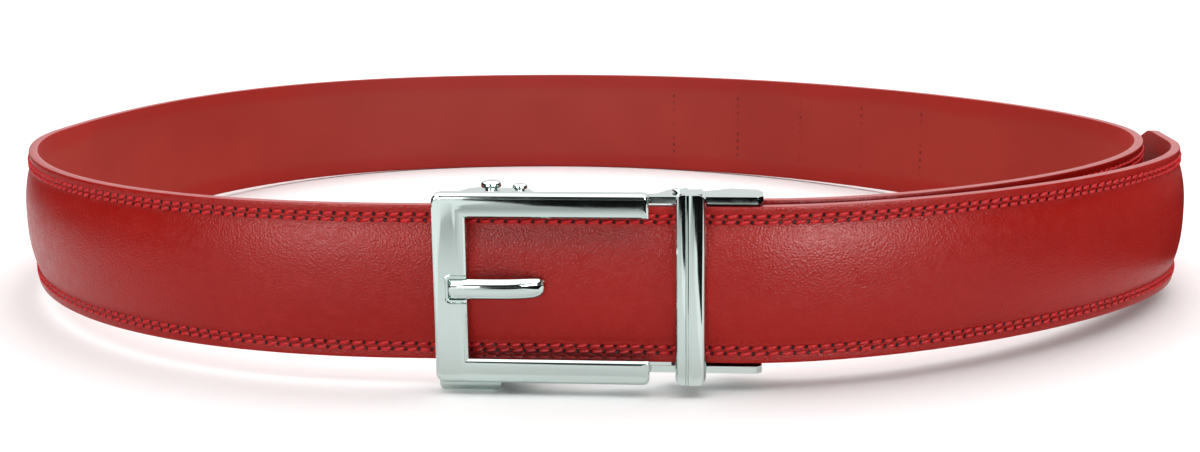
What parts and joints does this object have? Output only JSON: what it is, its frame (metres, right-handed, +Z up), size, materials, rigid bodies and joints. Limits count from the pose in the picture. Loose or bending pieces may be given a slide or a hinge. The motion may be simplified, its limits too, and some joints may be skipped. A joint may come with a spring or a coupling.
{
  "type": "ratchet belt",
  "caption": "Leather ratchet belt, fastened, with a padded stitched strap, an open chrome frame buckle, a keeper and a sprung release lever.",
  "frame": {"origin": "middle of the belt's box, on the surface that it stands on", "axes": "+X along the front of the buckle from left to right, +Y from the buckle into the loop, +Z up"},
  "size_m": [0.3202, 0.2796, 0.0461],
  "materials": {
    "leather": "smooth dyed red leather with a soft sheen",
    "lining": "plain red lining leather, matt",
    "track": "moulded black plastic",
    "chrome": "polished"
  },
  "bodies": {
    "belt": {"strap_face": "leather", "strap_lining": "lining", "ratchet_track": "track", "buckle_frame": "chrome", "prong": "chrome", "keeper_loop": "chrome", "pawl_pin": "chrome", "stop_pin": "chrome", "clamp": "chrome", "clamp_jaw": "chrome", "clamp_rivet_top": "chrome", "clamp_rivet_bottom": "chrome"},
    "lever": {"release_lever": "chrome"}
  },
  "joints": [
    {"name": "release_lever", "type": "hinge", "parent": "belt", "child": "lever", "pos_m": [-0.01232, -0.12693, 0.024], "axis": [0, 0, 1], "range_deg": [0, 10], "stiffness_Nm_per_rad": 0.03, "springref_deg": -11.46}
  ]
}
